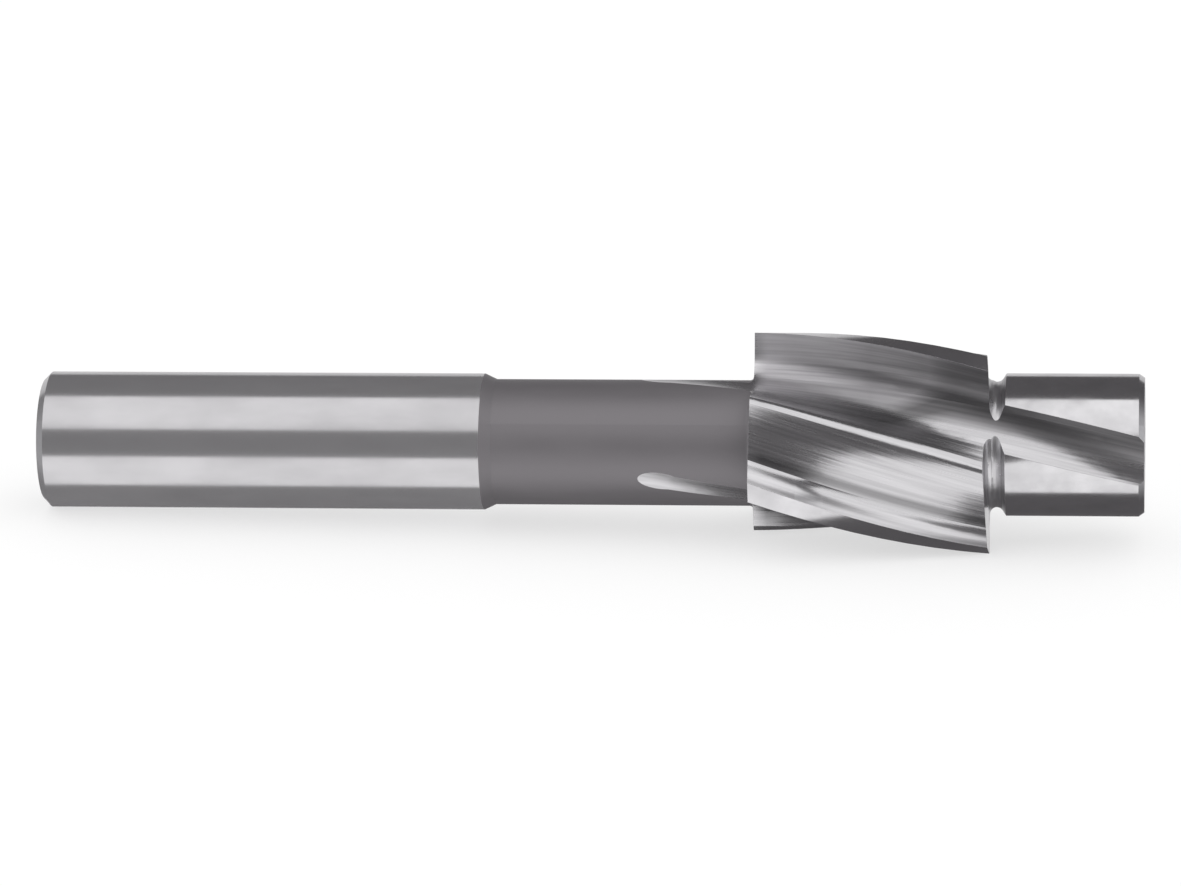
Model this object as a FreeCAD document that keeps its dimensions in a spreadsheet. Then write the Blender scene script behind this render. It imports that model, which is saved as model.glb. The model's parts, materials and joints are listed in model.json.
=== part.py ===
import FreeCAD, Part
import Sketcher
import math
import os

# Counterbore cutter with a solid guide pilot, ground from one bar of high-speed steel.
# Each feature is made with the tool axis along Z, from the shank end (zero) to the pilot end,
# and the finished body is then laid down as it comes to rest on a flat surface, pilot towards +X.

Vector = FreeCAD.Vector
START, END, CENTRE = range(1, 4)
X_AXIS, Y_AXIS = range(-1, -3, -1)
ORIGIN = (X_AXIS, START)

# Driving dimensions in millimetres, angles in degrees
SIZES = {
    # plain cylindrical shank, a chamfer at its end and a short cone down to the neck
    "shank_diameter": 12.45,
    "shank_length": 40.6,
    "shank_chamfer": 0.65,
    "cone_length": 1.05,
    # turned neck and the small radius under the head
    "neck_diameter": 11.45,
    "neck_length": 23.6,
    "neck_fillet": 0.4,
    # cutting head
    "head_diameter": 20.1,
    "head_length": 21.5,
    # relief groove between the teeth and the pilot
    "groove_diameter": 11.4,
    "groove_width": 0.95,
    "groove_corner": 0.58,
    "groove_wall_angle": 58.0,
    # guide pilot
    "pilot_diameter": 12.95,
    "pilot_length": 12.5,
    "pilot_chamfer": 0.5,
    "pilot_chamfer_depth": 0.35,
    # centre holes that the tool is ground between
    "centre_mouth_diameter": 3.4,
    "centre_drill_diameter": 1.6,
    "centre_drill_depth": 2.6,
    "centre_angle": 60.0,
    # teeth and helical flutes
    "tooth_count": 3,
    "helix_lead": 163.0,
    "flute_core_diameter": 11.22,
    "flute_radius": 6.0,
    "flute_corner": 2.5,
    "lip_angle": 24.3,
    "land_width": 1.95,
    "back_width": 2.15,
    "back_angle": 34.8,
    "crest_diameter": 16.1,
    "crest_angle": 32.3,
    "crest_rounding": 1.0,
    "flute_runout": 8.2,
    "wheel_radius": 21.0,
    "wheel_plunge": 0.02,
    "wheel_swivel": 13.0,
    "runout_ahead": 7.5,
    "runout_arc": 27.0,
    # end relief behind each cutting lip, ground with a rounded wheel
    "end_relief_angle": 4.0,
    "end_relief_lead": 0.3,
    "end_relief_core": 11.6,
    "end_relief_reach": 0.8,
    "end_relief_arc": 90.0,
    # run-over of cuts past the stock
    "overcut": 1.5,
}

doc = FreeCAD.newDocument("CounterboreCutter")
sheet = doc.addObject("Spreadsheet::Sheet", "Sizes")
for row, (word, value) in enumerate(SIZES.items(), start=1):
    sheet.set(f"A{row}", word)
    sheet.set(f"B{row}", str(value))
    sheet.setAlias(f"B{row}", word)
doc.recompute()

# Stations along the axis, measured from the shank end
NECK_START = "Sizes.shank_length + Sizes.cone_length"
HEAD_REAR = f"{NECK_START} + Sizes.neck_length"
HEAD_FRONT = f"{HEAD_REAR} + Sizes.head_length"
GROOVE_RISE = "(Sizes.pilot_diameter - Sizes.groove_diameter) / 2"
PILOT_START = f"{HEAD_FRONT} + Sizes.groove_width + {GROOVE_RISE} / tan(Sizes.groove_wall_angle * 1 deg)"
PILOT_END = f"{PILOT_START} + Sizes.pilot_length"
FLUTE_START = f"{HEAD_REAR} - Sizes.flute_runout"

# Angles about the axis on the head's front plane, from the middle of one flute
TOOTH_PITCH = "(360 / Sizes.tooth_count)"
LAND_ANGLE = "(360 / pi * Sizes.land_width / Sizes.head_diameter)"
HEEL_ANGLE = f"({TOOTH_PITCH} - Sizes.lip_angle - {LAND_ANGLE})"
BACK_DIRECTION = f"({HEEL_ANGLE} + 90 - Sizes.back_angle)"


def value_of(expression):
    """The number that an expression on the sheet gives."""
    result = sheet.evalExpression(expression)
    return float(getattr(result, "Value", result))


def origin_feature(body, role):
    """A base plane or axis of the body, found by its role."""
    return next(item for item in body.Origin.OriginFeatures if item.Role == role)


def new_sketch(body, name, support):
    """An empty sketch lying on one of the body's planes."""
    sketch = body.newObject("Sketcher::SketchObject", name)
    sketch.AttachmentSupport = [(support, "")]
    sketch.MapMode = "FlatFace"
    return sketch


def add_dimension(sketch, kind, where, expression, name):
    """A named driving dimension, bound to the sheet."""
    number = value_of(expression)
    if kind == "Angle":
        number = math.radians(number)
        expression = f"({expression}) * 1 deg"
    index = sketch.addConstraint(Sketcher.Constraint(kind, *where, number))
    sketch.renameConstraint(index, name)
    sketch.setExpression(f"Constraints.{name}", expression)


def polar_point(radius, angle):
    """A point of the drawing plane at a radius and an angle in degrees."""
    turn = math.radians(angle)
    return Vector(radius * math.cos(turn), radius * math.sin(turn), 0)


def place_point(sketch, line, end, across, along, name):
    """Fixes one end of a line by its distances from the drawing's two axes."""
    add_dimension(sketch, "DistanceX", (*ORIGIN, line, end), across, f"{name}_across")
    add_dimension(sketch, "DistanceY", (*ORIGIN, line, end), along, f"{name}_along")


def profile(sketch, corners):
    """A closed outline of straight lines: each corner has a name, a radius and a station."""
    points = [Vector(value_of(across), value_of(along), 0) for _, across, along in corners]
    for index, point in enumerate(points):
        following = points[(index + 1) % len(points)]
        sketch.addGeometry(Part.LineSegment(point, following), False)
    for index, (name, across, along) in enumerate(corners):
        before = (index - 1) % len(corners)
        sketch.addConstraint(Sketcher.Constraint("Coincident", before, END, index, START))
        if across == "0":
            sketch.addConstraint(Sketcher.Constraint("PointOnObject", index, START, Y_AXIS))
        else:
            add_dimension(sketch, "DistanceX", (*ORIGIN, index, START), across, f"{name}_radius")
        if along == "0":
            sketch.addConstraint(Sketcher.Constraint("PointOnObject", index, START, X_AXIS))
        else:
            add_dimension(sketch, "DistanceY", (*ORIGIN, index, START), along, f"{name}_station")


def make_blank(body):
    """The turned blank: shank, cone, neck, head, relief groove and pilot in one revolution."""
    sketch = new_sketch(body, "BlankOutline", origin_feature(body, "XZ_Plane"))
    shank = "Sizes.shank_diameter / 2"
    neck = "Sizes.neck_diameter / 2"
    head = "Sizes.head_diameter / 2"
    groove = "Sizes.groove_diameter / 2"
    pilot = "Sizes.pilot_diameter / 2"
    profile(sketch, [
        ("axis_rear", "0", "0"),
        ("shank_end", f"{shank} - Sizes.shank_chamfer", "0"),
        ("shank_edge", shank, "Sizes.shank_chamfer"),
        ("cone_rear", shank, "Sizes.shank_length"),
        ("cone_front", neck, NECK_START),
        ("neck_front", neck, HEAD_REAR),
        ("head_rear", head, HEAD_REAR),
        ("head_front", head, HEAD_FRONT),
        ("groove_rear", groove, HEAD_FRONT),
        ("groove_front", groove, f"{HEAD_FRONT} + Sizes.groove_width"),
        ("pilot_rear", pilot, PILOT_START),
        ("pilot_edge", pilot, f"{PILOT_END} - Sizes.pilot_chamfer"),
        ("pilot_end", f"{pilot} - Sizes.pilot_chamfer_depth", PILOT_END),
        ("axis_front", "0", PILOT_END),
    ])
    blank = body.newObject("PartDesign::Revolution", "Blank")
    blank.Profile = sketch
    blank.ReferenceAxis = (origin_feature(body, "Z_Axis"), [""])
    blank.Angle = 360
    doc.recompute()
    return blank


def circle_edges(shape, radius, station):
    """Names of the circular edges with that radius at that station."""
    names = []
    for number, edge in enumerate(shape.Edges, start=1):
        curve = edge.Curve
        if not isinstance(curve, Part.Circle):
            continue
        if abs(curve.Radius - radius) < 1e-4 and abs(curve.Center.z - station) < 1e-4:
            names.append(f"Edge{number}")
    return names


def round_corners(body, blank, name, radius_word, rings):
    """Rounds the inner corners of the blank that lie on the given rings."""
    edges = []
    for radius, station in rings:
        edges += circle_edges(blank.Shape, value_of(radius), value_of(station))
    rounding = body.newObject("PartDesign::Fillet", name)
    rounding.Base = (blank, edges)
    rounding.setExpression("Radius", f"Sizes.{radius_word}")
    doc.recompute()
    return rounding


def make_centre_hole(body, name, face_station, inward):
    """A 60 degree centre hole, turned into one end of the tool."""
    mouth = "Sizes.centre_mouth_diameter / 2"
    drill = "Sizes.centre_drill_diameter / 2"
    cone = f"({mouth} - {drill}) / tan(Sizes.centre_angle * 1 deg / 2)"
    tip = f"{drill} / tan(Sizes.centre_angle * 1 deg)"
    sketch = new_sketch(body, f"{name}Outline", origin_feature(body, "XZ_Plane"))
    profile(sketch, [
        ("mouth_axis", "0", face_station),
        ("mouth_edge", mouth, face_station),
        ("drill_top", drill, f"{face_station} {inward} ({cone})"),
        ("drill_foot", drill, f"{face_station} {inward} Sizes.centre_drill_depth"),
        ("drill_point", "0", f"{face_station} {inward} (Sizes.centre_drill_depth + {tip})"),
    ])
    hole = body.newObject("PartDesign::Groove", name)
    hole.Profile = sketch
    hole.ReferenceAxis = (origin_feature(body, "Z_Axis"), [""])
    hole.Angle = 360
    doc.recompute()
    return hole


def make_end_relief(body):
    """Slopes the front face of one tooth down behind its cutting lip."""
    lip_plane = body.newObject("PartDesign::Plane", "LipPlane")
    lip_plane.AttachmentSupport = [(origin_feature(body, "XY_Plane"), "")]
    lip_plane.MapMode = "FlatFace"
    lip_plane.AttachmentOffset = FreeCAD.Placement(Vector(), FreeCAD.Rotation(Vector(0, 0, 1), -1))
    lip_plane.setExpression(".AttachmentOffset.Base.z", HEAD_FRONT)
    lip_plane.setExpression(
        ".AttachmentOffset.Rotation.Angle", "(Sizes.end_relief_lead - Sizes.lip_angle) * 1 deg")
    doc.recompute()
    sketch = new_sketch(body, "EndReliefOutline", lip_plane)
    sketch.AttachmentOffset = FreeCAD.Placement(Vector(), FreeCAD.Rotation(Vector(1, 0, 0), 1))
    sketch.setExpression(".AttachmentOffset.Rotation.Angle", "(90 + Sizes.end_relief_angle) * 1 deg")
    inner = value_of("Sizes.end_relief_core / 2")
    outer = value_of("Sizes.head_diameter / 2 + Sizes.overcut")
    corner = value_of("Sizes.groove_corner")
    reach = value_of("Sizes.end_relief_reach")
    rounding = Part.Circle(Vector(inner + corner, corner, 0), Vector(0, 0, 1), corner)
    sketch.addGeometry(Part.LineSegment(Vector(outer, 0, 0), Vector(inner + corner, 0, 0)), False)
    sketch.addGeometry(Part.ArcOfCircle(rounding, math.pi, 3 / 2 * math.pi), False)
    sketch.addGeometry(Part.LineSegment(Vector(inner, corner, 0), Vector(inner, reach, 0)), False)
    sketch.addGeometry(Part.LineSegment(Vector(inner, reach, 0), Vector(outer, reach, 0)), False)
    sketch.addGeometry(Part.LineSegment(Vector(outer, reach, 0), Vector(outer, 0, 0)), False)
    sketch.addConstraint(Sketcher.Constraint("PointOnObject", 0, START, X_AXIS))
    sketch.addConstraint(Sketcher.Constraint("Horizontal", 0))
    sketch.addConstraint(Sketcher.Constraint("Tangent", 0, END, 1, END))
    sketch.addConstraint(Sketcher.Constraint("Tangent", 1, START, 2, START))
    sketch.addConstraint(Sketcher.Constraint("Vertical", 2))
    sketch.addConstraint(Sketcher.Constraint("Coincident", 2, END, 3, START))
    sketch.addConstraint(Sketcher.Constraint("Horizontal", 3))
    sketch.addConstraint(Sketcher.Constraint("Coincident", 3, END, 4, START))
    sketch.addConstraint(Sketcher.Constraint("Vertical", 4))
    sketch.addConstraint(Sketcher.Constraint("Coincident", 4, END, 0, START))
    add_dimension(sketch, "Radius", (1,), "Sizes.groove_corner", "corner")
    place_point(sketch, 2, END, "Sizes.end_relief_core / 2", "Sizes.end_relief_reach", "inner")
    add_dimension(
        sketch, "DistanceX", (*ORIGIN, 4, END), "Sizes.head_diameter / 2 + Sizes.overcut", "outer")
    relief = body.newObject("PartDesign::Groove", "EndRelief")
    relief.Profile = sketch
    relief.ReferenceAxis = (sketch, ["V_Axis"])
    relief.Reversed = True
    relief.setExpression("Angle", "Sizes.end_relief_arc * 1 deg")
    doc.recompute()
    return relief


def make_flute(body):
    """One flute: rake face, corner, round gullet, crest and the back of the next tooth.

    The outline is drawn square to the axis and swept along the helix, which gives the flute
    through the head and the pilot and its shallow tail on the neck in one cut.
    """
    sketch = new_sketch(body, "FluteOutline", origin_feature(body, "XY_Plane"))
    sketch.AttachmentOffset = FreeCAD.Placement(Vector(), FreeCAD.Rotation(Vector(0, 0, 1), -1))
    sketch.setExpression(".AttachmentOffset.Base.z", FLUTE_START)
    sketch.setExpression(
        ".AttachmentOffset.Rotation.Angle",
        f"-360 deg * (({HEAD_FRONT}) - ({FLUTE_START})) / Sizes.helix_lead")

    radius = value_of("Sizes.flute_radius")
    middle = value_of("Sizes.flute_core_diameter / 2 + Sizes.flute_radius")
    lip = value_of("Sizes.lip_angle")
    outside = value_of("Sizes.head_diameter / 2 + Sizes.overcut")
    heel = polar_point(value_of("Sizes.head_diameter / 2"), value_of(HEEL_ANGLE))
    back = polar_point(1, value_of(BACK_DIRECTION))
    knee = heel - back * value_of("Sizes.back_width")
    crest = polar_point(value_of("Sizes.crest_diameter / 2"), value_of("Sizes.crest_angle"))
    slant = heel.dot(back)
    reach = -slant + math.sqrt(slant ** 2 + outside ** 2 - heel.dot(heel))
    back_out = heel + back * reach
    lip_out = polar_point(outside, -lip)

    # the radial rake face meets the gullet through a small corner radius
    corner = value_of("Sizes.flute_corner")
    gullet = Vector(middle, 0, 0)
    rake = polar_point(1, -lip)
    square = polar_point(1, 90 - lip)
    offset = gullet.dot(rake)
    rise = gullet.dot(square)
    corner_along = offset - math.sqrt((radius - corner) ** 2 - (rise - corner) ** 2)
    corner_centre = rake * corner_along + square * corner
    rake_foot = rake * corner_along
    corner_end = gullet + (corner_centre - gullet).normalize() * radius
    # the gullet runs tangent into the straight rise to the crest
    to_crest = crest - gullet
    opening = math.acos(radius / to_crest.Length)
    touch = math.atan2(to_crest.y, to_crest.x) + opening
    gullet_end = gullet + Vector(math.cos(touch), math.sin(touch), 0) * radius
    # the crest between the rise and the back is rounded
    rounding = value_of("Sizes.crest_rounding")
    rise_way = (crest - gullet_end).normalize()
    fall_way = (knee - crest).normalize()
    shortening = rounding * math.tan(rise_way.getAngle(fall_way) / 2)
    rise_end = crest - rise_way * shortening
    back_start = crest + fall_way * shortening
    crest_centre = rise_end + Vector(-rise_way.y, rise_way.x, 0) * rounding

    up = Vector(0, 0, 1)
    start = (corner_end - gullet)
    first = math.atan2(start.y, start.x) % (2 * math.pi)
    rake_turn = math.atan2((rake_foot - corner_centre).y, (rake_foot - corner_centre).x)
    end_turn = math.atan2((corner_end - corner_centre).y, (corner_end - corner_centre).x)
    sketch.addGeometry(Part.LineSegment(lip_out, rake_foot), False)
    sketch.addGeometry(
        Part.ArcOfCircle(Part.Circle(corner_centre, up, corner), end_turn, rake_turn), False)
    sketch.addGeometry(
        Part.ArcOfCircle(Part.Circle(gullet, up, radius), touch % (2 * math.pi), first), False)
    sketch.addGeometry(Part.LineSegment(gullet_end, rise_end), False)
    crest_first = math.atan2((rise_end - crest_centre).y, (rise_end - crest_centre).x)
    crest_last = math.atan2((back_start - crest_centre).y, (back_start - crest_centre).x)
    sketch.addGeometry(
        Part.ArcOfCircle(Part.Circle(crest_centre, up, rounding), crest_first, crest_last), False)
    sketch.addGeometry(Part.LineSegment(back_start, knee), False)
    sketch.addGeometry(Part.LineSegment(knee, back_out), False)
    back_turn = math.atan2(back_out.y, back_out.x)
    sketch.addGeometry(
        Part.ArcOfCircle(Part.Circle(Vector(), up, outside), math.radians(-lip), back_turn), False)
    sketch.addGeometry(Part.Point(crest), True)

    sketch.addConstraint(Sketcher.Constraint("Tangent", 0, END, 1, END))
    sketch.addConstraint(Sketcher.Constraint("Tangent", 1, START, 2, END))
    sketch.addConstraint(Sketcher.Constraint("Tangent", 2, START, 3, START))
    sketch.addConstraint(Sketcher.Constraint("Tangent", 3, END, 4, START))
    sketch.addConstraint(Sketcher.Constraint("Tangent", 4, END, 5, START))
    sketch.addConstraint(Sketcher.Constraint("Coincident", 5, END, 6, START))
    sketch.addConstraint(Sketcher.Constraint("Coincident", 6, END, 7, END))
    sketch.addConstraint(Sketcher.Constraint("Coincident", 7, START, 0, START))
    sketch.addConstraint(Sketcher.Constraint("Coincident", 7, CENTRE, *ORIGIN))
    sketch.addConstraint(Sketcher.Constraint("PointOnObject", 2, CENTRE, X_AXIS))
    sketch.addConstraint(Sketcher.Constraint("PointOnObject", *ORIGIN, 0))
    sketch.addConstraint(Sketcher.Constraint("PointOnObject", 8, START, 3))
    sketch.addConstraint(Sketcher.Constraint("PointOnObject", 8, START, 5))
    add_dimension(sketch, "Radius", (1,), "Sizes.flute_corner", "corner")
    add_dimension(sketch, "Radius", (2,), "Sizes.flute_radius", "gullet")
    add_dimension(sketch, "Radius", (4,), "Sizes.crest_rounding", "crest")
    add_dimension(sketch, "Radius", (7,), "Sizes.head_diameter / 2 + Sizes.overcut", "outside")
    add_dimension(
        sketch, "DistanceX", (*ORIGIN, 2, CENTRE),
        "Sizes.flute_core_diameter / 2 + Sizes.flute_radius", "gullet_middle")
    add_dimension(sketch, "Angle", (0,), "180 - Sizes.lip_angle", "lip")
    place_point(
        sketch, 8, START,
        "Sizes.crest_diameter / 2 * cos(Sizes.crest_angle * 1 deg)",
        "Sizes.crest_diameter / 2 * sin(Sizes.crest_angle * 1 deg)", "crest_corner")
    place_point(
        sketch, 6, START,
        f"Sizes.head_diameter / 2 * cos({HEEL_ANGLE} * 1 deg)"
        f" - Sizes.back_width * cos({BACK_DIRECTION} * 1 deg)",
        f"Sizes.head_diameter / 2 * sin({HEEL_ANGLE} * 1 deg)"
        f" - Sizes.back_width * sin({BACK_DIRECTION} * 1 deg)", "knee")
    add_dimension(sketch, "Angle", (6,), BACK_DIRECTION, "back")
    doc.recompute()

    flute = body.newObject("PartDesign::SubtractiveHelix", "Flute")
    flute.Profile = sketch
    flute.ReferenceAxis = (origin_feature(body, "Z_Axis"), [""])
    flute.Mode = "pitch-height-angle"
    flute.LeftHanded = False
    flute.Reversed = False
    flute.setExpression("Pitch", "Sizes.helix_lead")
    flute.setExpression("Height", f"{PILOT_END} + Sizes.overcut - ({FLUTE_START})")
    doc.recompute()
    return flute


def make_runout(body):
    """The scoop that the grinding wheel leaves where the flute fades out on the neck.

    The wheel is swivelled a little past the helix. Only the stretch of it from just ahead of
    its lowest point backwards is cut.
    """
    core = value_of("Sizes.flute_core_diameter / 2 - Sizes.wheel_plunge")
    turn = -360 * value_of(f"({HEAD_FRONT}) - ({FLUTE_START})") / value_of("Sizes.helix_lead")
    slope = math.degrees(math.atan(2 * math.pi * core / value_of("Sizes.helix_lead")))
    wheel = body.newObject("PartDesign::SubtractiveTorus", "FluteRunout")
    wheel.AttachmentSupport = [(origin_feature(body, "XY_Plane"), "")]
    wheel.MapMode = "FlatFace"
    wheel.setExpression("Radius1", "Sizes.wheel_radius - Sizes.flute_radius")
    wheel.setExpression("Radius2", "Sizes.flute_radius")
    wheel.setExpression("Angle3", "Sizes.runout_arc * 1 deg")
    around = FreeCAD.Rotation(Vector(0, 0, 1), turn)
    tilt = FreeCAD.Rotation(Vector(1, 0, 0), 90 - slope - value_of("Sizes.wheel_swivel"))
    backwards = FreeCAD.Rotation(Vector(0, 0, 1), 180 - value_of("Sizes.runout_ahead"))
    centre = around.multVec(Vector(core + value_of("Sizes.wheel_radius"), 0, 0))
    centre.z = value_of(FLUTE_START)
    turned = around.multiply(tilt).multiply(backwards)
    wheel.AttachmentOffset = FreeCAD.Placement(centre, turned)
    doc.recompute()
    return wheel


def repeat_for_teeth(body, cut):
    """Repeats a cut for every tooth around the axis."""
    pattern = body.newObject("PartDesign::PolarPattern", f"{cut.Name}Pattern")
    pattern.Originals = [cut]
    pattern.Axis = (origin_feature(body, "Z_Axis"), [""])
    pattern.Angle = 360
    pattern.setExpression("Occurrences", "Sizes.tooth_count")
    body.Tip = pattern
    doc.recompute()
    return pattern


def resting_direction():
    """The local direction that points down when the tool lies at rest.

    It rests on the front corner of one cutting edge, on the rear heel corner of the next tooth
    and on the rim of the shank, so those three lie equally far down.
    """
    head = value_of("Sizes.head_diameter / 2")
    shank = value_of("Sizes.shank_diameter / 2")
    rim = value_of("Sizes.shank_chamfer")
    front = value_of(HEAD_FRONT)
    rear = value_of(HEAD_REAR)
    pitch = value_of(TOOTH_PITCH)
    lip = pitch - value_of("Sizes.lip_angle")
    twist = 360 * (front - rear) / value_of("Sizes.helix_lead")
    heel = lip + pitch - value_of(LAND_ANGLE) - twist
    angle = (lip + heel) / 2
    for _ in range(40):
        half = math.cos(math.radians(lip - angle))
        slope = (shank - head * half) / (front - rim)
        other = (shank + slope * (rim - rear)) / head
        angle = heel - math.degrees(math.acos(min(1, other)))
    return angle, slope


def lay_down(body):
    """Turns the finished tool to its resting pose, the middle of its footprint at the origin."""
    angle, slope = resting_direction()
    tilt = math.degrees(math.atan(slope))
    spin = FreeCAD.Rotation(Vector(0, 0, 1), -angle)
    lay = FreeCAD.Rotation(Vector(0, 1, 0), 90 + tilt)
    rotation = lay.multiply(spin)
    body.Placement = FreeCAD.Placement(Vector(), rotation)
    doc.recompute()
    box = body.Shape.optimalBoundingBox(False, False)
    foot = Vector(-box.Center.x, -box.Center.y, -box.ZMin)
    body.Placement = FreeCAD.Placement(foot, rotation)
    doc.recompute()
    return angle, tilt


def make_cutter():
    """The whole tool as one solid."""
    body = doc.addObject("PartDesign::Body", "Cutter")
    body.Label = "counterbore_cutter"
    blank = make_blank(body)
    corner = round_corners(
        body, blank, "NeckFillet", "neck_fillet",
        [("Sizes.neck_diameter / 2", HEAD_REAR)])
    round_corners(
        body, corner, "GrooveRounding", "groove_corner",
        [("Sizes.groove_diameter / 2", HEAD_FRONT),
         ("Sizes.groove_diameter / 2", f"{HEAD_FRONT} + Sizes.groove_width")])
    make_centre_hole(body, "ShankCentre", "0", "+")
    make_centre_hole(body, "PilotCentre", f"({PILOT_END})", "-")
    for make_cut in (make_end_relief, make_flute, make_runout):
        cut = make_cut(body)
        repeat_for_teeth(body, cut)
    return body


cutter = make_cutter()
angle, tilt = lay_down(cutter)
print("down at", round(angle, 3), "degrees from the flute, axis tilt", round(tilt, 3), "degrees")

failed = [item.Name for item in doc.Objects if {"Invalid", "Error"} & set(item.State)]
if failed:
    raise RuntimeError(f"features that failed: {failed}")
shape = cutter.Shape
if shape.isNull() or not shape.isValid() or len(shape.Solids) != 1:
    raise RuntimeError("the cutter is not one valid solid")
print("volume", round(shape.Volume, 1), "box", shape.optimalBoundingBox(False, False))

os.makedirs("parts", exist_ok=True)
shape.exportStep(f"parts/{cutter.Label}.step")
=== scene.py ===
import json
import math
import bpy
from mathutils import Matrix, Vector

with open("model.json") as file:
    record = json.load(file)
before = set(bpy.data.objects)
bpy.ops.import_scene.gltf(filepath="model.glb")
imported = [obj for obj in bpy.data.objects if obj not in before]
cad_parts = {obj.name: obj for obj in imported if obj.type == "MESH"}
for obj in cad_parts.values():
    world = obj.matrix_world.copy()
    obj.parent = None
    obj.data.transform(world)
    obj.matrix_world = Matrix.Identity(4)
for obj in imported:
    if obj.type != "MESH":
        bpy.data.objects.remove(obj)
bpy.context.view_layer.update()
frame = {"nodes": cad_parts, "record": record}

# Bar: a counterbore cutter is turned and ground from one bar of high-speed steel, so it is one
# piece whose surfaces differ in how each was cut; the teeth also carry painted light and shade.
# It lies on its side. Places on it are given in millimetres from the end of the shank, with Z
# along the axis toward the pilot.
cutter = frame["nodes"]["counterbore_cutter"]
mounts = {mount["name"]: mount for mount in frame["record"]["mounts"]}
shank_chamfer = 0.65
half_grip = mounts["shank"]["dims"]["length_mm"] / 2
along = -Vector(mounts["shank"]["axis"]).normalized()
shank_end = Vector(mounts["shank"]["pos_m"]) - along * (half_grip + shank_chamfer) / 1000
tool_lean = math.atan2(along.x, along.z)

# Shank: ground round between centres to a clamping fit. The wheel leaves rings too fine to
# see, drawn here at 0.2 mm, and handling leaves a haze that greys the darks while the
# reflections stay crisp.


def linear(hex_colour):
    """A linear colour from an sRGB hex value."""
    values = [int(hex_colour[i:i + 2], 16) / 255 for i in (1, 3, 5)]
    return [*(v / 12.92 if v <= 0.04045 else ((v + 0.055) / 1.055) ** 2.4 for v in values), 1]


def add_node(tree, kind, settings=None, links=None):
    """A node with its settings, and the sockets that feed it. A number stands for an input by
    its place: on a Mix node 0 is the factor, 2 and 3 are its numbers, and 6 and 7 its colours."""
    node = tree.nodes.new(kind)
    for name, value in (settings or {}).items():
        if isinstance(name, int) or name in node.inputs:
            node.inputs[name].default_value = value
        else:
            setattr(node, name, value)
    for name, source in (links or {}).items():
        tree.links.new(source, node.inputs[name])
    return node


def bare_steel(name, metallic, edge_radius):
    """A bare steel finish: its shader, the place on the tool in millimetres, and a normal that
    rounds the sharp edges by a radius in millimetres."""
    material = bpy.data.materials.new(name)
    material.use_nodes = True
    tree = material.node_tree
    shader = tree.nodes["Principled BSDF"]
    shader.inputs["Metallic"].default_value = metallic
    position = add_node(tree, "ShaderNodeTexCoord").outputs["Object"]
    place = add_node(tree, "ShaderNodeMapping", {
        "vector_type": "TEXTURE",
        "Location": shank_end,
        "Rotation": (0, tool_lean, 0),
        "Scale": (0.001, 0.001, 0.001),
    }, {"Vector": position})
    rounded = add_node(tree, "ShaderNodeBevel", {"samples": 4, "Radius": edge_radius / 1000})
    return material, tree, shader, place.outputs["Vector"], rounded.outputs["Normal"]


def streaks(tree, place, across, lengthwise, detail=3.0):
    """Noise marks on the tool, so many a millimetre across the axis and along it."""
    stretched = add_node(tree, "ShaderNodeVectorMath",
                         {"operation": "MULTIPLY", 1: (across, across, lengthwise)}, {0: place})
    return add_node(tree, "ShaderNodeTexNoise", {"Scale": 1.0, "Detail": detail},
                    {"Vector": stretched.outputs[0]}).outputs["Fac"]


# Noise stays near the middle of its range, so that middle is spread over the whole.
noise_middle = {"From Min": 0.3, "From Max": 0.7}
shank_steel, tree, shader, place, rounded = bare_steel(
    "cylindrical_ground_steel", metallic=0.82, edge_radius=0.06)
ring_depth = 0.0008
rings = streaks(tree, place, across=0.15, lengthwise=5.0)
ringed = add_node(tree, "ShaderNodeBump", {"Strength": 1.0, "Distance": ring_depth / 1000},
                  {"Height": rings, "Normal": rounded})
tree.links.new(ringed.outputs["Normal"], shader.inputs["Normal"])
handling = streaks(tree, place, across=0.3, lengthwise=0.12, detail=4.0)
handled = add_node(tree, "ShaderNodeMapRange", noise_middle, {"Value": handling})
skin = add_node(tree, "ShaderNodeMix",
                {"data_type": "RGBA", 6: linear("#B8B7B9"), 7: linear("#C5C4C6")},
                {0: handled.outputs[0]})
tree.links.new(skin.outputs[2], shader.inputs["Base Color"])
gloss = add_node(tree, "ShaderNodeMapRange", {**noise_middle, "To Min": 0.2, "To Max": 0.14},
                 {"Value": handling})
tree.links.new(gloss.outputs[0], shader.inputs["Roughness"])

# Cone and neck: turned to size before hardening and never ground, so they keep the dull
# brownish grey skin of the heat treatment over the lathe tool's feed marks, 0.25 mm apart.
neck_steel, tree, shader, place, rounded = bare_steel(
    "turned_hardened_steel", metallic=0.6, edge_radius=0.05)
feed_depth = 0.004
feed = streaks(tree, place, across=0.1, lengthwise=4.0, detail=2.0)
ridged = add_node(tree, "ShaderNodeBump", {"Strength": 1.0, "Distance": feed_depth / 1000},
                  {"Height": feed, "Normal": rounded})
tree.links.new(ridged.outputs["Normal"], shader.inputs["Normal"])
cloud = streaks(tree, place, across=0.3, lengthwise=0.15, detail=5.0)
skin = add_node(tree, "ShaderNodeMix",
                {"data_type": "RGBA", 6: linear("#767376"), 7: linear("#7D7A7D")}, {0: cloud})
tree.links.new(skin.outputs[2], shader.inputs["Base Color"])
gloss = add_node(tree, "ShaderNodeMapRange", {**noise_middle, "To Min": 0.48, "To Max": 0.56},
                 {"Value": cloud})
tree.links.new(gloss.outputs[0], shader.inputs["Roughness"])

# Teeth and flutes: ground along the helix by a formed wheel, whose long passes leave streaks
# that follow it. The solid's backs are flat, but they mirror the light as slightly rounded
# ones, so this finish tilts their reflections and leaves the shape alone.
flute_steel, tree, shader, place, rounded = bare_steel(
    "helically_ground_steel", metallic=1.0, edge_radius=0.05)

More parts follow.
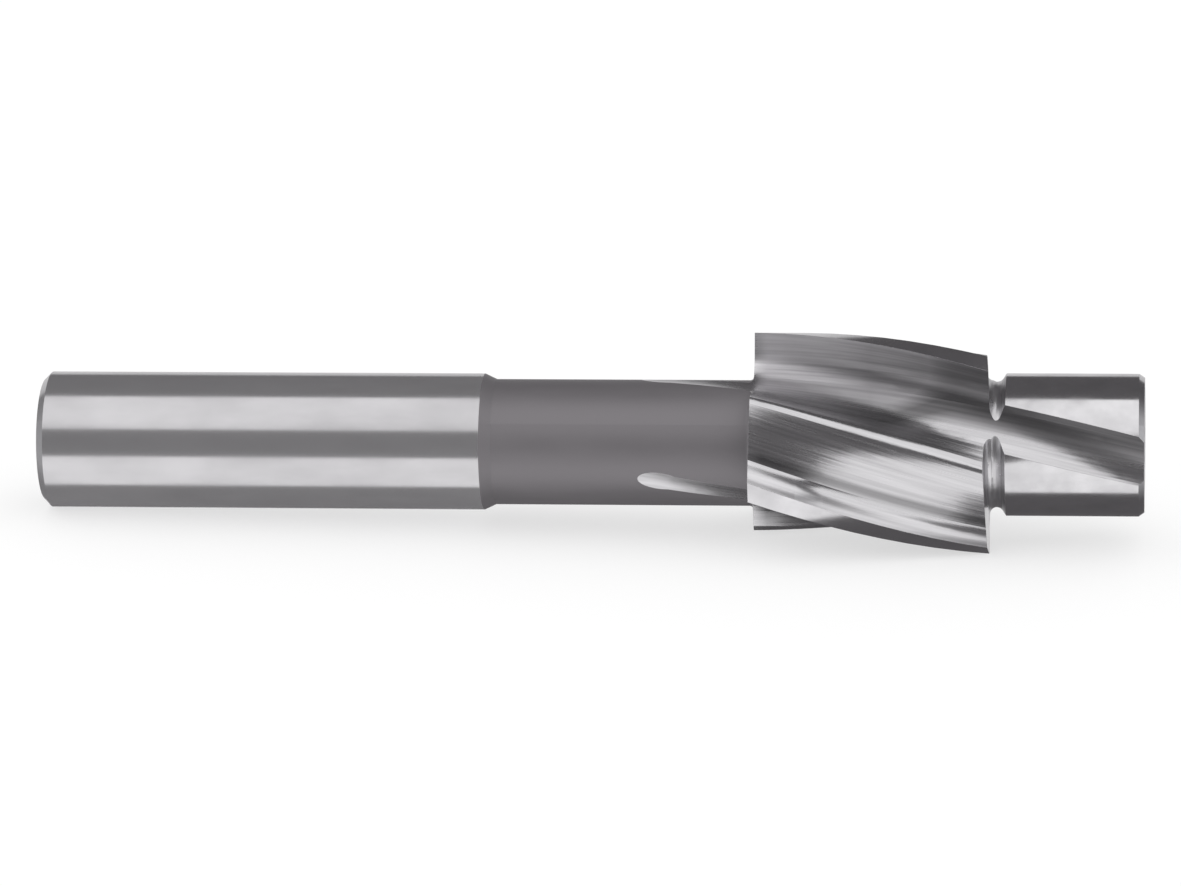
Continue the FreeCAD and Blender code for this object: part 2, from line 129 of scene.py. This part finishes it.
# The helix is undone first, so that all marks and teeth run straight along the tool.
helix_lead = 163.0
head_front = 86.75
station = add_node(tree, "ShaderNodeSeparateXYZ", {}, {"Vector": place}).outputs["Z"]
past_front = add_node(tree, "ShaderNodeMath", {"operation": "SUBTRACT", 1: head_front},
                      {0: station}).outputs[0]
twist = add_node(tree, "ShaderNodeMath", {"operation": "MULTIPLY", 1: -2 * math.pi / helix_lead},
                 {0: past_front}).outputs[0]
straight = add_node(tree, "ShaderNodeVectorRotate", {"rotation_type": "Z_AXIS"},
                    {"Vector": place, "Angle": twist}).outputs[0]

# The angle round the axis starts anew at each tooth. Its lip is at -24.3 degrees, the flute's
# bottom at 0 to 30, the crest of the back at 32.3 and the knee at 73.3, where the heel begins.
flute_angle = 2.6
tooth_start = -28
tooth_end = 92
unwound = add_node(tree, "ShaderNodeSeparateXYZ", {}, {"Vector": straight})
angle = add_node(tree, "ShaderNodeMath", {"operation": "ARCTAN2"},
                 {0: unwound.outputs["Y"], 1: unwound.outputs["X"]}).outputs[0]
from_flute = add_node(tree, "ShaderNodeMath", {"operation": "ADD", 1: math.radians(flute_angle)},
                      {0: angle}).outputs[0]
on_tooth = add_node(tree, "ShaderNodeMath", {
    "operation": "WRAP",
    1: math.radians(tooth_end),
    2: math.radians(tooth_start),
}, {0: from_flute}).outputs[0]

# The back's roundness is a height in millimetres. It falls from the crest to the knee, faster
# and faster, and toward the head's front it is bent more beside the crest.
back_crest = 32.3
back_knee = 73.3
half_back = 3.0
back_fall = -0.27
back_bend = -0.0308
crest_bend = -0.064
crest_bend_start = 68.0
on_back = add_node(tree, "ShaderNodeMapRange", {
    "From Min": math.radians(back_crest),
    "From Max": math.radians(back_knee),
    "To Min": -half_back,
    "To Max": half_back,
}, {"Value": on_tooth}).outputs[0]
slope = add_node(tree, "ShaderNodeMath", {"operation": "MULTIPLY_ADD", 1: back_bend, 2: back_fall},
                 {0: on_back}).outputs[0]
crown = add_node(tree, "ShaderNodeMath", {"operation": "MULTIPLY"},
                 {0: on_back, 1: slope}).outputs[0]
toward_crest = add_node(tree, "ShaderNodeMath", {"operation": "MINIMUM", 1: 0.0},
                        {0: on_back}).outputs[0]
squared = add_node(tree, "ShaderNodeMath", {"operation": "MULTIPLY"},
                   {0: toward_crest, 1: toward_crest}).outputs[0]
forward_bend = add_node(tree, "ShaderNodeMapRange", {
    "From Min": crest_bend_start,
    "From Max": head_front,
    "To Min": 0.0,
    "To Max": crest_bend,
}, {"Value": station}).outputs[0]
back_form = add_node(tree, "ShaderNodeMath", {"operation": "MULTIPLY_ADD"},
                     {0: squared, 1: forward_bend, 2: crown}).outputs[0]

# The heel has the last passes' ridges, and its slope turns over a little way into the head.
heel_end = 87.3
heel_width = 2.2
heel_turn_start = 69.5
heel_turn_end = 72.0
rear_heel_slope = 0.1
front_heel_slope = -0.3
ridge_spacing = 1.1
ridge_height = 0.03
on_heel = add_node(tree, "ShaderNodeMapRange", {
    "From Min": math.radians(back_knee),
    "From Max": math.radians(heel_end),
    "To Min": 0.0,
    "To Max": heel_width,
}, {"Value": on_tooth}).outputs[0]
heel_slope = add_node(tree, "ShaderNodeMapRange", {
    "From Min": heel_turn_start,
    "From Max": heel_turn_end,
    "To Min": rear_heel_slope,
    "To Max": front_heel_slope,
}, {"Value": station}).outputs[0]
sloped = add_node(tree, "ShaderNodeMath", {"operation": "MULTIPLY_ADD"},
                  {0: on_heel, 1: heel_slope, 2: back_form}).outputs[0]
wave = add_node(tree, "ShaderNodeMath", {"operation": "MULTIPLY", 1: 2 * math.pi / ridge_spacing},
                {0: on_heel}).outputs[0]
ridges = add_node(tree, "ShaderNodeMath", {"operation": "SINE"}, {0: wave}).outputs[0]
form = add_node(tree, "ShaderNodeMath", {"operation": "MULTIPLY_ADD", 1: ridge_height},
                {0: ridges, 2: sloped}).outputs[0]

# The wheel's marks are broad passes and streaks. The finest are too fine to see, and are
# drawn here at 0.1 mm. Each depth is in millimetres.
passes = streaks(tree, straight, across=1.3, lengthwise=0.012, detail=2.0)
coarse = streaks(tree, straight, across=3.0, lengthwise=0.07)
fine = streaks(tree, straight, across=9.0, lengthwise=0.14)
normal = rounded
for height, depth in ((form, 1.0), (passes, 0.02), (coarse, 0.006), (fine, 0.0016)):
    normal = add_node(tree, "ShaderNodeBump", {"Strength": 1.0, "Distance": depth / 1000},
                      {"Height": height, "Normal": normal}).outputs["Normal"]
tree.links.new(normal, shader.inputs["Normal"])

# The rake side of each flute carries a haze of streaks, on the head only. Its colour is painted
# lighter at the head's rear and darker from its middle on: painted light and shade.
haze_start = 65.0
haze_full = 66.5
painted_shade_full = 76.0
rear_painted_light = 1.2
front_painted_shade = 0.62
rake_start = 12
rake_full = -10
on_head = add_node(tree, "ShaderNodeMapRange", {"From Min": haze_start, "From Max": haze_full},
                   {"Value": station}).outputs[0]
on_rake = add_node(tree, "ShaderNodeMapRange", {
    "interpolation_type": "SMOOTHSTEP",
    "From Min": math.radians(rake_start),
    "From Max": math.radians(rake_full),
}, {"Value": on_tooth, "To Max": on_head}).outputs[0]
coarse_spread = add_node(tree, "ShaderNodeMapRange", noise_middle, {"Value": coarse}).outputs[0]
passes_spread = add_node(tree, "ShaderNodeMapRange", noise_middle, {"Value": passes}).outputs[0]
share = add_node(tree, "ShaderNodeMapRange", {**noise_middle, "To Min": 0.35, "To Max": 0.65},
                 {"Value": passes}).outputs[0]
marks = add_node(tree, "ShaderNodeMix", {"data_type": "FLOAT"},
                 {0: share, 2: coarse_spread, 3: passes_spread}).outputs[0]
tone = add_node(tree, "ShaderNodeMix",
                {"data_type": "RGBA", 6: linear("#B8B7B9"), 7: linear("#CDCCCE")},
                {0: coarse_spread}).outputs[2]
haze = add_node(tree, "ShaderNodeMix",
                {"data_type": "RGBA", 6: linear("#969497"), 7: linear("#CCCACD")},
                {0: marks}).outputs[2]
hazed = add_node(tree, "ShaderNodeMix", {"data_type": "RGBA"},
                 {0: on_rake, 6: tone, 7: haze}).outputs[2]
# Painted light and shade on the rake: a scale on its colour along the head.
rake_painted_light = add_node(tree, "ShaderNodeMapRange", {
    "From Min": haze_full,
    "From Max": painted_shade_full,
    "To Min": rear_painted_light,
    "To Max": front_painted_shade,
}, {"Value": station}).outputs[0]
shade = add_node(tree, "ShaderNodeMix", {"data_type": "FLOAT", 2: 1.0},
                 {0: on_rake, 3: rake_painted_light}).outputs[0]

# Two lines of painted shade darken the colour: one along the flute's bottom, which crosses to the
# rake side near the head's front, and one along the back just before its knee. Each is darkest
# up to the first number of degrees from its middle, and gone by the second.
bottom_turn_start = 76.0
bottom_turn_end = 84.0
rear_bottom = 16
front_bottom = -14
knee_line = 70
bottom = add_node(tree, "ShaderNodeMapRange", {
    "interpolation_type": "SMOOTHSTEP",
    "From Min": bottom_turn_start,
    "From Max": bottom_turn_end,
    "To Min": math.radians(rear_bottom),
    "To Max": math.radians(front_bottom),
}, {"Value": station}).outputs[0]
from_bottom = add_node(tree, "ShaderNodeMath", {"operation": "SUBTRACT"},
                       {0: on_tooth, 1: bottom}).outputs[0]
from_knee = add_node(tree, "ShaderNodeMath", {"operation": "SUBTRACT", 1: math.radians(knee_line)},
                     {0: on_tooth}).outputs[0]
for apart, dark_to, fades_by, darkest in ((from_bottom, 5, 18, 0.42), (from_knee, 1, 4, 0.5)):
    distance = add_node(tree, "ShaderNodeMath", {"operation": "ABSOLUTE"}, {0: apart}).outputs[0]
    painted_line_shade = add_node(tree, "ShaderNodeMapRange", {
        "From Min": math.radians(dark_to),
        "From Max": math.radians(fades_by),
        "To Min": darkest,
        "To Max": 1.0,
    }, {"Value": distance}).outputs[0]
    shade = add_node(tree, "ShaderNodeMath", {"operation": "MULTIPLY"},
                     {0: shade, 1: painted_line_shade}).outputs[0]

# The heel is painted lighter by so much a millimetre, a painted highlight along it, and the run-out
# on the neck is light all over.
heel_light = 0.1
run_out_light = 1.1
lighter = add_node(tree, "ShaderNodeMath", {"operation": "MULTIPLY_ADD", 1: heel_light},
                   {0: on_heel, 2: shade}).outputs[0]
light = add_node(tree, "ShaderNodeMix", {"data_type": "FLOAT", 2: run_out_light},
                 {0: on_head, 3: lighter}).outputs[0]
shaded = add_node(tree, "ShaderNodeVectorMath", {"operation": "SCALE"},
                  {0: hazed, "Scale": light}).outputs[0]
tree.links.new(shaded, shader.inputs["Base Color"])

# Haze, heel and run-out blur their reflections more than the rest.
run_out_start = 60.0
run_out_blur = 0.12
rake_blur = 0.22
heel_blur = 0.13
on_neck = add_node(tree, "ShaderNodeMapRange", {
    "From Min": run_out_start,
    "From Max": haze_start,
    "To Min": run_out_blur,
    "To Max": 0.0,
}, {"Value": station}).outputs[0]
with_rake = add_node(tree, "ShaderNodeMath", {"operation": "MULTIPLY_ADD", 1: rake_blur},
                     {0: on_rake, 2: on_neck}).outputs[0]
with_heel = add_node(tree, "ShaderNodeMath", {"operation": "MULTIPLY_ADD", 1: heel_blur},
                     {0: on_heel, 2: with_rake}).outputs[0]
grit = add_node(tree, "ShaderNodeMapRange", {**noise_middle, "To Min": 0.18, "To Max": 0.28},
                {"Value": fine}).outputs[0]
gloss = add_node(tree, "ShaderNodeMath", {"operation": "ADD"}, {0: with_heel, 1: grit})
tree.links.new(gloss.outputs[0], shader.inputs["Roughness"])

# Lands, pilot and cutting ends: ground to size last, with a finer wheel than the shank's,
# which leaves a lighter and glossier surface. Its rings are drawn at 0.17 mm to show at all.
land_steel, tree, shader, place, rounded = bare_steel(
    "finish_ground_steel", metallic=1.0, edge_radius=0.05)
ring_depth = 0.0012
rings = streaks(tree, place, across=0.15, lengthwise=6.0)
ringed = add_node(tree, "ShaderNodeBump", {"Strength": 1.0, "Distance": ring_depth / 1000},
                  {"Height": rings, "Normal": rounded})
tree.links.new(ringed.outputs["Normal"], shader.inputs["Normal"])
wear = streaks(tree, place, across=0.35, lengthwise=0.3, detail=4.0)
worn = add_node(tree, "ShaderNodeMapRange", noise_middle, {"Value": wear})
skin = add_node(tree, "ShaderNodeMix",
                {"data_type": "RGBA", 6: linear("#BFBEC0"), 7: linear("#D6D5D7")},
                {0: worn.outputs[0]})
tree.links.new(skin.outputs[2], shader.inputs["Base Color"])
gloss = add_node(tree, "ShaderNodeMapRange", {**noise_middle, "To Min": 0.2, "To Max": 0.12},
                 {"Value": wear})
tree.links.new(gloss.outputs[0], shader.inputs["Roughness"])

# Relief groove, centre holes, end faces and the rear of the teeth: turned and left as turned.
# The lathe tool's rings lie round the axis, drawn 0.2 to 0.3 mm apart so that they show.
turned_steel, tree, shader, place, rounded = bare_steel(
    "form_turned_steel", metallic=1.0, edge_radius=0.0)
split = add_node(tree, "ShaderNodeSeparateXYZ", {}, {"Vector": place})
outward = add_node(tree, "ShaderNodeVectorMath", {"operation": "MULTIPLY", 1: (1, 1, 0)}, {0: place})
radius = add_node(tree, "ShaderNodeVectorMath", {"operation": "LENGTH"}, {0: outward.outputs[0]})
around = add_node(tree, "ShaderNodeCombineXYZ", {},
                  {"X": radius.outputs["Value"], "Z": split.outputs["Z"]}).outputs[0]
ring_depth = 0.0015
rings = streaks(tree, around, across=3.0, lengthwise=5.0, detail=1.0)
ringed = add_node(tree, "ShaderNodeBump", {"Strength": 1.0, "Distance": ring_depth / 1000},
                  {"Height": rings, "Normal": rounded})
tree.links.new(ringed.outputs["Normal"], shader.inputs["Normal"])
ring_spread = add_node(tree, "ShaderNodeMapRange", noise_middle, {"Value": rings})
skin = add_node(tree, "ShaderNodeMix",
                {"data_type": "RGBA", 6: linear("#B4B3B5"), 7: linear("#CCCBCD")},
                {0: ring_spread.outputs[0]})
tree.links.new(skin.outputs[2], shader.inputs["Base Color"])
stain = streaks(tree, place, across=0.8, lengthwise=0.8)
gloss = add_node(tree, "ShaderNodeMapRange", {**noise_middle, "To Min": 0.27, "To Max": 0.36},
                 {"Value": stain})
tree.links.new(gloss.outputs[0], shader.inputs["Roughness"])

# Each face takes the finish of the operation that cut it, found from where it lies along the
# bar, how near it comes to the axis, and whether it looks along the bar or aslant round it.
cone_rear = 40.6
neck_radius = 5.725
head_rear = 65.25
head_rear_reach = 0.3
land_radius = 10.05
end_relief_rear = 86.0
groove_front = 88.18
groove_radius = 5.7
hole_reach = 3.0
slack = 0.004

# How much of a face's direction lies along the bar, and for a flute, aslant round it.
endways = 0.9
square_on = 0.99
groove_wall = 0.45
sideways = 0.5
flute_slant = 0.15
finishes = [shank_steel, neck_steel, flute_steel, land_steel, turned_steel]
cutter.data.materials.clear()
for finish in finishes:
    cutter.data.materials.append(finish)
to_tool = Matrix.Rotation(-tool_lean, 4, "Y") @ Matrix.Translation(-shank_end)
spots = [to_tool @ vertex.co * 1000 for vertex in cutter.data.vertices]
for face in cutter.data.polygons:
    corners = [spots[index] for index in face.vertices]
    middle = sum(corners, Vector()) / len(corners)
    off_axis = middle.to_2d()
    in_hole = off_axis.length < hole_reach
    nearest = min(corner.to_2d().length for corner in corners)
    facing = to_tool.to_3x3() @ face.normal
    aslant = abs(facing.to_2d().cross(off_axis)) / max(off_axis.length, 0.001)
    if middle.z < cone_rear:
        finish = turned_steel if facing.z < -endways or in_hole else shank_steel
    elif facing.z < -endways and abs(middle.z - head_rear) < head_rear_reach:
        finish = turned_steel
    elif middle.z < head_rear + slack:
        finish = flute_steel if nearest < neck_radius - slack else neck_steel
    elif middle.z < head_front - slack and middle.z > end_relief_rear and facing.z > groove_wall:
        finish = land_steel if facing.z > square_on else turned_steel
    elif middle.z < head_front - slack:
        finish = land_steel if nearest > land_radius - slack else flute_steel
    elif middle.z > groove_front and in_hole:
        finish = turned_steel
    elif aslant > flute_slant:
        finish = flute_steel
    elif nearest < groove_radius - 2 * slack and abs(facing.z) < sideways:
        finish = flute_steel
    elif middle.z < groove_front or facing.z > endways:
        finish = turned_steel
    else:
        finish = land_steel
    face.material_index = finishes.index(finish)

# Camera: fitted to the edges of the tool in the photograph. It looks down on the tool by 16.5
# degrees from 0.6 m away, turned a few degrees from square and almost level.
image_width = 1181
focal_pixels = 6567.6
film_width = 36
view_height = math.radians(16.5)
swing = math.radians(5.332)
nod = math.radians(0.078)
roll = math.radians(0.339)
camera_along = 0.1060
camera_rise = -0.0009
camera_distance = 0.597
over = Vector((-along.z, 0, along.x))
nearer = Vector((0.0, -1.0, 0.0))
look_from = nearer * math.cos(view_height) + over * math.sin(view_height)
picture_up = over * math.cos(view_height) - nearer * math.sin(view_height)
tool_axes = Matrix((along, picture_up, look_from)).transposed()
ahead = Vector((-math.sin(swing) * math.cos(nod), math.sin(nod), -math.cos(swing) * math.cos(nod)))
side = Vector((math.cos(swing), 0, -math.sin(swing)))
top = side.cross(ahead)
right = side * math.cos(roll) + top * math.sin(roll)
up = top * math.cos(roll) - side * math.sin(roll)
turn = tool_axes @ Matrix((right, up, -ahead)).transposed()
camera_data = bpy.data.cameras.new("camera")
camera = bpy.data.objects.new("camera", camera_data)
bpy.context.scene.collection.objects.link(camera)
bpy.context.scene.camera = camera
camera_data.sensor_width = film_width
camera_data.lens = film_width * focal_pixels / image_width
camera_data.clip_start = 0.01
camera_place = (shank_end + along * camera_along + picture_up * camera_rise
                + look_from * camera_distance)
camera.matrix_world = Matrix.Translation(camera_place) @ turn.to_4x4()

# Floor: a sheet of white paper on a light table, so that the tool's shadow on it stays faint.
# The steel doesn't mirror it, only the white cards of the section below.
floor_size = 3
bpy.ops.object.select_all(action="DESELECT")
bpy.ops.mesh.primitive_plane_add(size=floor_size)
floor = bpy.context.object
floor.name = "floor"
floor.visible_glossy = False
floor.visible_shadow = False
paper = bpy.data.materials.new("white_paper")
paper.use_nodes = True
sheet = paper.node_tree.nodes["Principled BSDF"]
sheet.inputs["Base Color"].default_value = linear("#A5A5A5")
sheet.inputs["Roughness"].default_value = 0.9
sheet.inputs["Specular IOR Level"].default_value = 0.0
sheet.inputs["Emission Color"].default_value = (1, 1, 1, 1)
sheet.inputs["Emission Strength"].default_value = 0.6
floor.data.materials.append(paper)

# Light: one long softbox overhead and white cards before and behind the tool, which the steel
# mirrors as long bands, and even room light on the paper. In the steel the room is dark but
# for its end walls, which light the tool's end faces.


def softbox(name, from_angle, to_angle, brightness):
    """A long soft light beside the tool, between two angles from straight up to the camera."""
    reach = 0.45
    length = 1.0
    axis_height = Vector((0, 0, 0.008))
    turns = math.radians(from_angle), math.radians(to_angle)
    edges = [Vector((0, -math.sin(turn) * reach, math.cos(turn) * reach)) for turn in turns]
    centre = (edges[0] + edges[1]) / 2
    data = bpy.data.lights.new(name, "AREA")
    data.shape = "RECTANGLE"
    data.size = length
    data.size_y = (edges[1] - edges[0]).length
    data.energy = brightness * math.pi * data.size * data.size_y
    light = bpy.data.objects.new(name, data)
    bpy.context.scene.collection.objects.link(light)
    light.location = centre + axis_height
    light.rotation_euler = centre.to_track_quat("Z", "Y").to_euler()
    light.visible_camera = False
    light.visible_diffuse = False


softbox("key_softbox", from_angle=-4.5, to_angle=56.5, brightness=1.05)
softbox("front_card", from_angle=102.8, to_angle=157.0, brightness=1.05)
softbox("back_card", from_angle=-72.0, to_angle=-118.0, brightness=0.6)

# Where a wall stands is given by the ray's direction: its share along the tool, and its share
# away from the camera. The end walls brighten toward the camera's side.
room_brightness = 1.12
dark_room = (0.113, 0.108, 0.113, 1)
end_wall = (0.5, 0.5, 0.51, 1)
end_wall_start = 0.6
end_wall_full = 0.9
far_brightness = 0.15
near_brightness = 1.5
far_side = 0.45
near_side = -0.25
world = bpy.data.worlds.new("studio")
bpy.context.scene.world = world
world.use_nodes = True
tree = world.node_tree
room = tree.nodes["Background"]
room.inputs["Color"].default_value = (1, 1, 1, 1)
room.inputs["Strength"].default_value = room_brightness
direction = add_node(tree, "ShaderNodeTexCoord").outputs["Generated"]
way = add_node(tree, "ShaderNodeSeparateXYZ", {}, {"Vector": direction})
off_square = add_node(tree, "ShaderNodeMath", {"operation": "ABSOLUTE"}, {0: way.outputs["X"]})
lit_side = add_node(tree, "ShaderNodeMapRange", {
    "From Min": far_side,
    "From Max": near_side,
    "To Min": far_brightness,
    "To Max": near_brightness,
}, {"Value": way.outputs["Y"]})
end_walls = add_node(tree, "ShaderNodeMapRange", {
    "From Min": end_wall_start,
    "From Max": end_wall_full,
}, {"Value": off_square.outputs[0], "To Max": lit_side.outputs[0]})
walls = add_node(tree, "ShaderNodeMix",
                 {"data_type": "RGBA", "clamp_factor": False, 6: dark_room, 7: end_wall},
                 {0: end_walls.outputs[0]})
mirrored = add_node(tree, "ShaderNodeBackground", {}, {"Color": walls.outputs[2]})
ray = add_node(tree, "ShaderNodeLightPath")
either = add_node(tree, "ShaderNodeMixShader", {}, {
    0: ray.outputs["Is Glossy Ray"],
    1: room.outputs[0],
    2: mirrored.outputs[0],
})
tree.links.new(either.outputs[0], tree.nodes["World Output"].inputs["Surface"])
bpy.context.scene.view_settings.view_transform = "Standard"
